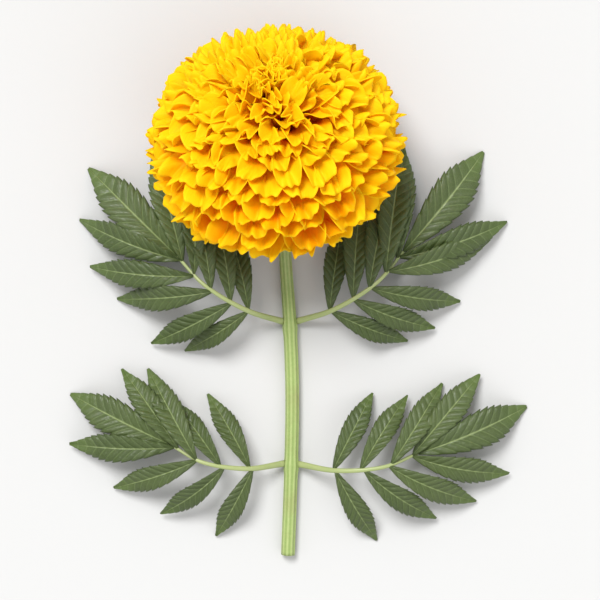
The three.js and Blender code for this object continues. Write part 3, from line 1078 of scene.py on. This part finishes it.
LEAF_ROUGHNESS, ROUGHNESS_DRIFT = 0.38, 0.25
LEAF_CLOUD_TONE, LEAF_TINT_TONE, LEAF_GRAIN_RELIEF = 0.9, 0.5, 0.15
MIDRIB_WIDTH, MIDRIB_TONE, MIDRIB_DEPTH = 0.09, 0.9, 1.2
VEIN_RISE, VEIN_END, VEIN_TONE = (0.72, 1.0), 6, 0.6
NET_ACROSS, NET_ALONG, NET_BY_TINT = 14, 60, 9
NET_WIDTH, NET_TONE, NET_DEPTH = 0.12, 0.22, 0.25
FRESH_START, FRESH_TONE = 0.7, 1.8


class LeafSettings(bpy.types.PropertyGroup):
    """Sizes and colours of the leaves."""

    thickness: length_of("Blade thickness", "Thickness of a leaflet", 0.4)
    teeth: count_of("Teeth", "Teeth along each margin of a leaflet", 11)
    fold: number_of("Fold", "Rise of a leaflet's halves from its midrib, for each unit of width", 0.32)
    blade_colour: colour_of("Blade", "a leaflet", 0.042, 0.068, 0.013)
    pale_colour: colour_of("Pale", "a leaflet's lighter clouds", 0.078, 0.110, 0.028)
    fresh_colour: colour_of("Fresh", "a leaflet's tip", 0.13, 0.21, 0.035)
    vein_colour: colour_of("Vein", "a leaflet's veins", 0.16, 0.22, 0.075)
    midrib_colour: colour_of("Midrib", "a leaflet's midrib", 0.26, 0.33, 0.13)
    stalk_colour: colour_of("Stalk", "the leaf's stalk", 0.30, 0.38, 0.14)
    pale_stalk_colour: colour_of("Pale stalk", "the stalk's clouds", 0.42, 0.46, 0.20)
    glow_colour: colour_of("Glow", "the light that passes a leaflet", 0.16, 0.28, 0.03)
    glow: number_of("Glow", "Share of the light that passes through a leaflet", 0.12)


def leaflet_sheet(settings, root, course, length, width, tip_height, roll, sway):
    """The middle surface of one leaflet, rows x columns x 3.

    The midrib arches from the root down to the tip. The outline is a lance shape with a saw wave
    for the teeth, and rows sweep forwards to the margin as the side veins do. The halves rise
    from the midrib, roll down at the margin, swell between the veins and have long waves. What
    would go below the floor is eased to rest on it, along a hyperbola.
    """
    side = np.linspace(-1, 1, LEAFLET_COLUMNS)[None, :]
    along = np.linspace(0, 1, settings.teeth * ROWS_PER_TOOTH + 1)[:, None]
    bulge = np.sin(math.pi * along)
    reach = np.abs(side)
    half = width / 2 * blend(LEAFLET_BASE, 1, np.sin(math.pi * along ** LANCE_SKEW) ** LANCE_POWER)
    saw = (along * settings.teeth) % 1.0
    half = half * (1 - TOOTH_DEPTH * (1 - saw) * reach ** TOOTH_REACH * bulge ** TOOTH_EASE)
    forward = along * length + reach ** SWEEP_POWER * half * VEIN_SWEEP * (1 - along ** 2)
    share = np.clip(forward / length, 0, 1)
    sideways = side * half
    arch = length * LEAFLET_RISE * np.sin(math.pi * share)
    height = blend(root[2], tip_height, share ** DROOP_POWER) + arch
    fold = reach * settings.fold * (1 - FOLD_LOSS * along) - MARGIN_ROLL * reach ** ROLL_POWER
    height = height + half * fold
    swell = np.abs(np.sin(math.pi * along * settings.teeth)) - SWELL_LEVEL
    height = height + VEIN_SWELL * swell * reach ** SWELL_POWER * bulge
    wave = BLADE_WAVE * np.sin(TURN * (along * WAVES_ALONG + sway * WAVES_BY_SWAY)) * reach ** 2
    height = height + wave + roll * sideways
    base = settings.thickness * REST_HEIGHT
    clear = height - base
    eased = base + (clear + np.sqrt(clear ** 2 + SOFT_REST ** 2)) / 2
    x, y = rotated(share * length, sideways + sway * length * share ** 2, course)
    return np.stack([root[0] + x, root[1] + y, eased], axis=-1)


def stalk_points(leaf, shares):
    """The leaf's stalk in its own frame: up from the stem, over and a little down."""
    run = leaf.length * (1 - TERMINAL_SHARE)
    start = (STEM_RADIUS / math.sin(abs(leaf.heading)), 0, STEM_RADIUS + STALK_LIFT)
    course = [(run * along, leaf.bow * bow, leaf.arch * arch) for along, bow, arch in STALK_COURSE]
    return spline(np.array([start, *course]), shares)


def grow_leaflets(settings, leaf, draws):
    """The leaflets of a leaf: its pairs, each a little different, and the one at its end."""
    terminal = leaf.length * TERMINAL_SHARE
    sheets = []

    def grow(place, turn, length, width, tip, roll, sway):
        """Adds a leaflet that grows from a place on the stalk, turned away from its course."""
        root, beyond = stalk_points(leaf, np.array([place, place + ROOT_STEP]))
        course = math.atan2(beyond[1] - root[1], beyond[0] - root[0]) + turn
        sheets.append(leaflet_sheet(settings, root, course, length, width, tip, roll, sway))

    def draw(name):
        """A draw from a measure's range."""
        return draws.uniform(*LEAFLET_DRAWS[name])

    for pair in range(leaf.pairs):
        share = pair / (leaf.pairs - 1)
        for side in (-1, 1):
            length = terminal * blend(*PAIR_LENGTHS, share) * draw("length")
            turn = side * blend(*PAIR_SPREADS, share) + draw("turn")
            place = blend(*PAIR_PLACES, share) + draw("place")
            tip = (RAISED_TIP if pair % 2 else RESTING_TIP) + draw("tip")
            roll = -side * draw("roll")
            sway = -side * draw("sway")
            grow(place, turn, length, length * LEAFLET_WIDTH, tip, roll, sway)
    grow(TERMINAL_PLACE, 0.0, terminal, terminal * TERMINAL_WIDTH, RESTING_TIP, TERMINAL_ROLL, TERMINAL_SWAY)
    return np.stack(sheets)


def add_leaf(settings, leaf, material):
    """Adds one leaf: its grooved stalk's tube and all its leaflets, turned into place."""
    draws = np.random.default_rng(SEED + LEAVES.index(leaf))
    sheets = grow_leaflets(settings, leaf, draws)
    points, faces = thin_solids(sheets, settings.thickness)
    uv = sheet_map(sheets, np.linspace(0, 1, sheets.shape[1]))
    tint = both_sides(draws.uniform(0, 1, (len(sheets), 1, 1)), sheets)

    shares = np.linspace(0, 1, STALK_RINGS)
    path = stalk_points(leaf, shares)
    upward = np.sin(np.arange(STALK_COLUMNS) * TURN / STALK_COLUMNS)
    groove = 1 - STALK_GROOVE * smooth(upward, *GROOVE_PASSAGE)
    radius = blend(*STALK_RADII, shares[:, None] ** STALK_TAPER) * groove
    stalk = tube(path, np.gradient(path, axis=0), radius).reshape(-1, 3)
    rings = [[corner + len(points) for corner in face] for face in ring_faces(*radius.shape)]

    layers = {
        "stalk": np.repeat([0, 1], [len(points), len(stalk)]),
        "tint": np.concatenate([tint, np.full(len(stalk), STALK_TINT)]),
    }
    placed = np.concatenate([points, stalk]) @ turn_about_vertical(TURN / 4 + leaf.heading)
    placed = placed + stem_place(leaf.place) * (1, 1, 0)
    add_piece(f"{leaf.node}_veined", placed, faces + rings, material, leaf.node,
              np.concatenate([uv, ring_map(*radius.shape)]), layers)


def leaf_material(settings):
    """A leaflet, dark olive with lighter clouds and veins, and the leaf's pale green stalk."""
    shader = Shader("leaf")
    across, along = shader.across_and_along()
    stalk = shader.layer("stalk")
    tint = shader.layer("tint")
    cloud = shader.noise(scale=110)
    offset = across.from_middle()
    midrib = offset.fade(0, MIDRIB_WIDTH)
    swell = (along * math.pi * settings.teeth).sine().size()
    veins = (1 - swell).rise(*VEIN_RISE) * (1 - offset ** VEIN_END)
    fields = shader.vector(across * NET_ACROSS, along * NET_ALONG, tint * NET_BY_TINT)
    net = shader.cells(vector=fields, feature="DISTANCE_TO_EDGE").fade(0, NET_WIDTH)
    colour = shader.coats(
        settings.blade_colour,
        (cloud * LEAF_CLOUD_TONE + tint.centred() * LEAF_TINT_TONE, settings.pale_colour),
        ((along - FRESH_START) * FRESH_TONE, settings.fresh_colour),
        (net * NET_TONE + veins * VEIN_TONE, settings.vein_colour),
        (midrib * MIDRIB_TONE, settings.midrib_colour),
        (stalk, shader.mix(cloud, settings.stalk_colour, settings.pale_stalk_colour)),
    )
    relief = (swell - midrib * MIDRIB_DEPTH - net * NET_DEPTH) * (1 - stalk)
    relief = relief + shader.noise(scale=1300, detail=2) * LEAF_GRAIN_RELIEF
    roughness = cloud.centred() * ROUGHNESS_DRIFT + LEAF_ROUGHNESS
    leaf = shader.surface(colour, relief, roughness, gloss=0.5, depth=0.3 * MM, strength=0.7)
    return shader.finish(shader.lit_through(leaf, settings.glow_colour, settings.glow))


class MARIGOLD_OT_leaves(bpy.types.Operator):
    """Make the four leaves with their toothed leaflets"""

    bl_idname = "marigold.leaves"
    bl_label = "Leaves"

    def execute(self, context):
        settings = context.scene.marigold_leaf
        material = leaf_material(settings)
        for leaf in LEAVES:
            add_leaf(settings, leaf, material)
        return {"FINISHED"}


# Studio

class StudioSettings(bpy.types.PropertyGroup):
    """The camera's frame and the light."""

    frame_height: length_of("Frame height", "Height of the picture at the flower", 214)
    distance: length_of("Distance", "Distance of the camera from the flower", 950)
    lean: angle_of("Lean", "Angle of the camera from straight above, towards the head", 6)
    key: number_of("Key light", "Strength of the main light, in watts per square metre", 3.1)
    fill: number_of("Fill light", "Strength of the filling light, in watts per square metre", 0.4)
    sky: number_of("Sky", "Strength of the light from all round", 0.82)
    floor_colour: colour_of("Floor", "the floor", 0.56, 0.56, 0.555)


AIM = (0.0, 0.0, 0.02)
KEY_PLACE, KEY_SPREAD = (-0.36, 0.8, 1.3), math.radians(24)
FILL_PLACE, FILL_SPREAD = (0.6, -0.7, 0.8), math.radians(50)
FLOOR_REACH = 6.0
FLOOR_SHADE = 0.97  # brightness of the floor's darker clouds
FLOOR_CLOUD_TONE = 0.3


def add_light(name, strength, spread, place):
    """A soft sun that shines from the direction of a place, evenly on the whole floor."""
    light = bpy.data.lights.new(name, "SUN")
    light.energy = strength
    light.angle = spread
    lamp = add_object(name, light)
    lamp.location = place
    x, y, z = np.array(AIM) - place
    lamp.rotation_euler = (math.atan2(math.hypot(x, y), -z), 0, math.atan2(y, x) - TURN / 4)


def add_floor(settings):
    """A wide matt floor with a barely visible grain."""
    shader = Shader("floor")
    shade = [value * FLOOR_SHADE for value in settings.floor_colour]
    tone = shader.mix(shader.noise(scale=300) * FLOOR_CLOUD_TONE, settings.floor_colour, shade)
    grain = shader.noise(scale=900)
    surface = shader.surface(tone, grain, roughness=0.9, gloss=0.1, depth=0.05 * MM, strength=0.1)
    mesh = bpy.data.meshes.new("floor")
    corners = [(x * FLOOR_REACH, y * FLOOR_REACH, 0) for x, y in ((-1, -1), (1, -1), (1, 1), (-1, 1))]
    mesh.from_pydata(corners, [], [(0, 1, 2, 3)])
    mesh.materials.append(shader.finish(surface))
    add_object("floor", mesh)


def add_camera(settings):
    """A camera above the flower that leans towards the head."""
    camera = bpy.data.cameras.new("camera")
    camera.lens = camera.sensor_width * settings.distance / settings.frame_height
    viewer = add_object("camera", camera)
    away = np.array([0, math.sin(settings.lean), math.cos(settings.lean)])
    viewer.location = AIM + settings.distance * away
    viewer.rotation_euler = (-settings.lean, 0, 0)
    bpy.context.scene.camera = viewer


class MARIGOLD_OT_studio(bpy.types.Operator):
    """Make the floor, the lights and the camera"""

    bl_idname = "marigold.studio"
    bl_label = "Studio"

    def execute(self, context):
        settings = context.scene.marigold_studio
        add_camera(settings)
        add_floor(settings)
        add_light("key", settings.key, KEY_SPREAD, KEY_PLACE)
        add_light("fill", settings.fill, FILL_SPREAD, FILL_PLACE)
        world = bpy.data.worlds.new("sky")
        world.use_nodes = True
        background = world.node_tree.nodes["Background"]
        background.inputs["Color"].default_value = rgba((1, 1, 1))
        background.inputs["Strength"].default_value = settings.sky
        context.scene.world = world
        context.scene.view_settings.view_transform = "Standard"
        context.scene.cycles.max_bounces = 16
        context.scene.cycles.diffuse_bounces = 8
        return {"FINISHED"}


class MARIGOLD_PT_panel(bpy.types.Panel):
    """Lists the steps that build the flower"""

    bl_idname = "MARIGOLD_PT_panel"
    bl_label = "Marigold"
    bl_space_type = "VIEW_3D"
    bl_region_type = "UI"
    bl_category = "Marigold"

    def draw(self, context):
        for operator in OPERATORS:
            self.layout.operator(operator.bl_idname)
        for name in SETTINGS:
            settings = getattr(context.scene, name)
            for key in settings.__annotations__:
                self.layout.prop(settings, key)


OPERATORS = (
    MARIGOLD_OT_studio,
    MARIGOLD_OT_outer_petals,
    MARIGOLD_OT_inner_whorls,
    MARIGOLD_OT_bract_cup,
    MARIGOLD_OT_stem,
    MARIGOLD_OT_leaves,
)
SETTINGS = {
    "marigold_head": HeadSettings,
    "marigold_cup": CupSettings,
    "marigold_stem": StemSettings,
    "marigold_leaf": LeafSettings,
    "marigold_studio": StudioSettings,
}


def register():
    """Makes the classes and the scene's settings known to Blender."""
    for kind in (*SETTINGS.values(), *OPERATORS, MARIGOLD_PT_panel):
        bpy.utils.register_class(kind)
    for name, kind in SETTINGS.items():
        setattr(bpy.types.Scene, name, bpy.props.PointerProperty(type=kind))


def unregister():
    """Undoes what register did."""
    for name in SETTINGS:
        delattr(bpy.types.Scene, name)
    for kind in (MARIGOLD_PT_panel, *reversed(OPERATORS), *SETTINGS.values()):
        bpy.utils.unregister_class(kind)


def main():
    """Builds the studio and the flower."""
    register()
    bpy.ops.marigold.studio()
    bpy.ops.marigold.outer_petals()
    bpy.ops.marigold.inner_whorls()
    bpy.ops.marigold.bract_cup()
    bpy.ops.marigold.stem()
    bpy.ops.marigold.leaves()


if __name__ == "__main__":
    main()
